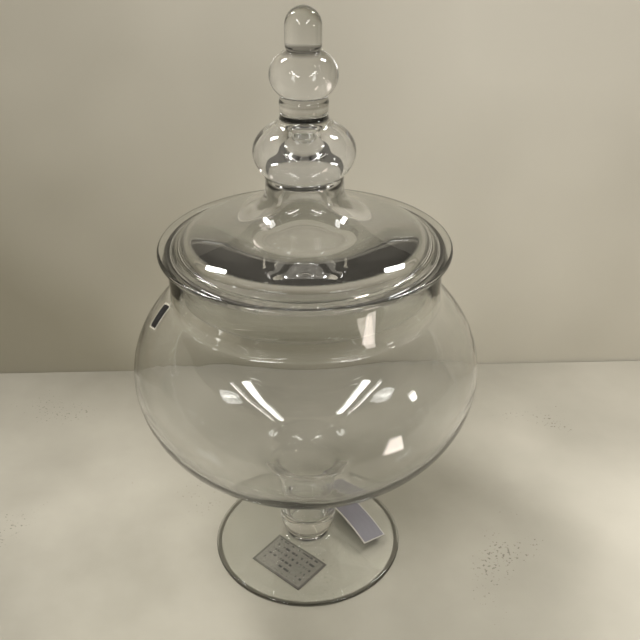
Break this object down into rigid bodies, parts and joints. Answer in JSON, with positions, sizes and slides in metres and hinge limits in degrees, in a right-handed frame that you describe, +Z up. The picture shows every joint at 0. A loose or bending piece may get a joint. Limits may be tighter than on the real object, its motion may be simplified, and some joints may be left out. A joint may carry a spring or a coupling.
{
  "type": "footed apothecary jar",
  "caption": "Footed glass storage jar with a round bowl, a short stem and disc foot, and a lift-off plug lid topped by a bulb, ball and tip finial.",
  "frame": {"origin": "on the table, at the centre of the foot's resting ring, directly under the jar's axis", "axes": "+Z up along the axis of the jar, +X to the viewer's right, +Y away from the viewer; the shoulder label is at -X and the price card at the front"},
  "size_m": [0.2108, 0.2108, 0.36],
  "materials": {
    "jar_glass": "clear blown soda-lime glass, fire-polished, very faint grey",
    "lid_glass": "clear blown soda-lime glass, fire-polished, very faint grey",
    "price_card_paper": null,
    "hang_card_board": "lilac-grey matte coated card, pale cut edge",
    "label_film": "black print on clear gloss film"
  },
  "bodies": {
    "jar": {"foot": "jar_glass", "stem": "jar_glass", "bowl": "jar_glass", "price_card": "price_card_paper", "hang_card": "hang_card_board", "shoulder_label": "label_film"},
    "lid": {"lid_shell": "lid_glass", "lid_bulb": "lid_glass", "finial_collar": "lid_glass", "finial_ball": "lid_glass", "finial_tip": "lid_glass"}
  },
  "joints": [
    {"name": "lid_lift", "type": "slide", "parent": "jar", "child": "lid", "axis": [0, 0, 1], "range_m": [0, 0.05]}
  ]
}
